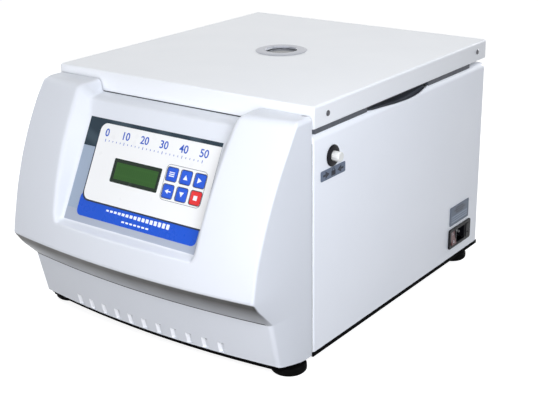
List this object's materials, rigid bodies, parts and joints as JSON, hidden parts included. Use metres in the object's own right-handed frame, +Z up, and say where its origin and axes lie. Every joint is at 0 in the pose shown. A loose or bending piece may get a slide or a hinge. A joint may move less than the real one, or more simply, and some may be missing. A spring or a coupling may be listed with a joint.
{
  "type": "laboratory centrifuge",
  "caption": "Bench-top laboratory centrifuge: white steel case, hinged flat lid with a sight window, bowed moulded front with a sloping key panel, swing-out bucket rotor inside.",
  "frame": {"origin": "on the bench, under the middle of the bounding box", "axes": "+X to the right of someone facing the front, +Y to the rear, +Z up"},
  "size_m": [0.4154, 0.5644, 0.3196],
  "materials": {
    "white_case": "white powder coat, fine satin texture",
    "white_moulding": "painted white moulding, satin",
    "black_pan": "black paint",
    "dark_deck": "dark grey moulding",
    "black_plastic": "black moulding",
    "rubber": "black rubber",
    "overlay": "printed overlay in white, slate, grey and blue",
    "display": "dark green display under a black frame",
    "blue_key": "blue key",
    "red_key": "red key",
    "board": "green circuit board",
    "stainless": "bare steel",
    "black_screw": "dark screws",
    "aluminium": "machined aluminium",
    "lilac_ring": "grey moulding",
    "clear": "smoked clear window",
    "side_plate": "grey printed plate",
    "white_knob": "white knob",
    "red_rocker": "dull red rocker"
  },
  "bodies": {
    "cabinet": {"case_wrap": "white_case", "rear_panel": "white_case", "front_fascia": "white_moulding", "base_pan": "black_pan", "motor_frame": "black_pan", "top_deck": "dark_deck", "finger_scoop_left": "dark_deck", "finger_scoop_right": "dark_deck", "inlet_housing": "black_plastic", "lock_bezel": "black_plastic", "foot_front_left": "rubber", "foot_front_right": "rubber", "foot_rear_left": "rubber", "foot_rear_right": "rubber", "motor_damper": "rubber", "shaft_boot": "rubber", "control_overlay": "overlay", "display_module": "display", "control_board": "board", "drive_board": "board", "chamber_bowl": "stainless", "motor_plate": "stainless", "hinge_leaf": "stainless", "hinge_pin": "stainless", "lock_nut": "stainless", "front_bulkhead": "stainless", "power_supply": "stainless", "motor_body": "aluminium", "lock_plate": "side_plate", "fuse_plate": "side_plate"},
    "rotor": {"drive_shaft": "stainless", "cooling_fan": "black_plastic", "rotor_head": "aluminium", "rotor_nut": "aluminium"},
    "bucket_1_body": {"bucket_1": "aluminium"},
    "bucket_2_body": {"bucket_2": "aluminium"},
    "bucket_3_body": {"bucket_3": "aluminium"},
    "bucket_4_body": {"bucket_4": "aluminium"},
    "lid": {"lid_cover": "white_case", "lid_liner": "white_case", "sight_ring": "lilac_ring", "sight_glass": "clear", "sight_tube": "dark_deck", "lid_seal": "rubber", "lid_striker": "stainless", "lid_hinge_leaf": "stainless", "lid_screw_1": "black_screw", "lid_screw_2": "black_screw", "lid_screw_3": "black_screw", "lid_screw_4": "black_screw"},
    "lock": {"lock_knob": "white_knob"},
    "rocker": {"power_rocker": "red_rocker"},
    "fuse": {"fuse_drawer": "black_plastic"},
    "key_1_body": {"key_1": "blue_key"},
    "key_2_body": {"key_2": "blue_key"},
    "key_3_body": {"key_3": "blue_key"},
    "key_4_body": {"key_4": "blue_key"},
    "key_5_body": {"key_5": "blue_key"},
    "key_6_body": {"key_6": "red_key"}
  },
  "joints": [
    {"name": "lid_swing", "type": "hinge", "parent": "cabinet", "child": "lid", "pos_m": [-0.00425, 0.27865, 0.289], "axis": [-1, 0, 0], "range_deg": [0, 100]},
    {"name": "rotor_spin", "type": "hinge", "parent": "cabinet", "child": "rotor", "pos_m": [-0.00425, 0.05915, 0.242], "axis": [0, 0, 1], "continuous": true},
    {"name": "lock_push", "type": "slide", "parent": "cabinet", "child": "lock", "axis": [-1, 0, 0], "range_m": [0, 0.008]},
    {"name": "rocker_tip", "type": "hinge", "parent": "cabinet", "child": "rocker", "pos_m": [0.19575, 0.19245, 0.04525], "axis": [0, 1, 0], "range_deg": [0, 20]},
    {"name": "fuse_pull", "type": "slide", "parent": "cabinet", "child": "fuse", "axis": [1, 0, 0], "range_m": [0, 0.012]},
    {"name": "bucket_1_swing", "type": "hinge", "parent": "rotor", "child": "bucket_1_body", "pos_m": [0.05775, 0.05915, 0.242], "axis": [0, -1, 0], "range_deg": [0, 90]},
    {"name": "bucket_2_swing", "type": "hinge", "parent": "rotor", "child": "bucket_2_body", "pos_m": [-0.00425, 0.12115, 0.242], "axis": [1, 0, 0], "range_deg": [0, 90]},
    {"name": "bucket_3_swing", "type": "hinge", "parent": "rotor", "child": "bucket_3_body", "pos_m": [-0.06625, 0.05915, 0.242], "axis": [0, 1, 0], "range_deg": [0, 90]},
    {"name": "bucket_4_swing", "type": "hinge", "parent": "rotor", "child": "bucket_4_body", "pos_m": [-0.00425, -0.00285, 0.242], "axis": [-1, 0, 0], "range_deg": [0, 90]},
    {"name": "key_1_press", "type": "slide", "parent": "cabinet", "child": "key_1_body", "axis": [0, 0.891, -0.454], "range_m": [0, 0.0008], "stiffness_N_per_m": 500},
    {"name": "key_2_press", "type": "slide", "parent": "cabinet", "child": "key_2_body", "axis": [0, 0.891, -0.454], "range_m": [0, 0.0008], "stiffness_N_per_m": 500},
    {"name": "key_3_press", "type": "slide", "parent": "cabinet", "child": "key_3_body", "axis": [0, 0.891, -0.454], "range_m": [0, 0.0008], "stiffness_N_per_m": 500},
    {"name": "key_4_press", "type": "slide", "parent": "cabinet", "child": "key_4_body", "axis": [0, 0.891, -0.454], "range_m": [0, 0.0008], "stiffness_N_per_m": 500},
    {"name": "key_5_press", "type": "slide", "parent": "cabinet", "child": "key_5_body", "axis": [0, 0.891, -0.454], "range_m": [0, 0.0008], "stiffness_N_per_m": 500},
    {"name": "key_6_press", "type": "slide", "parent": "cabinet", "child": "key_6_body", "axis": [0, 0.891, -0.454], "range_m": [0, 0.0008], "stiffness_N_per_m": 500}
  ]
}
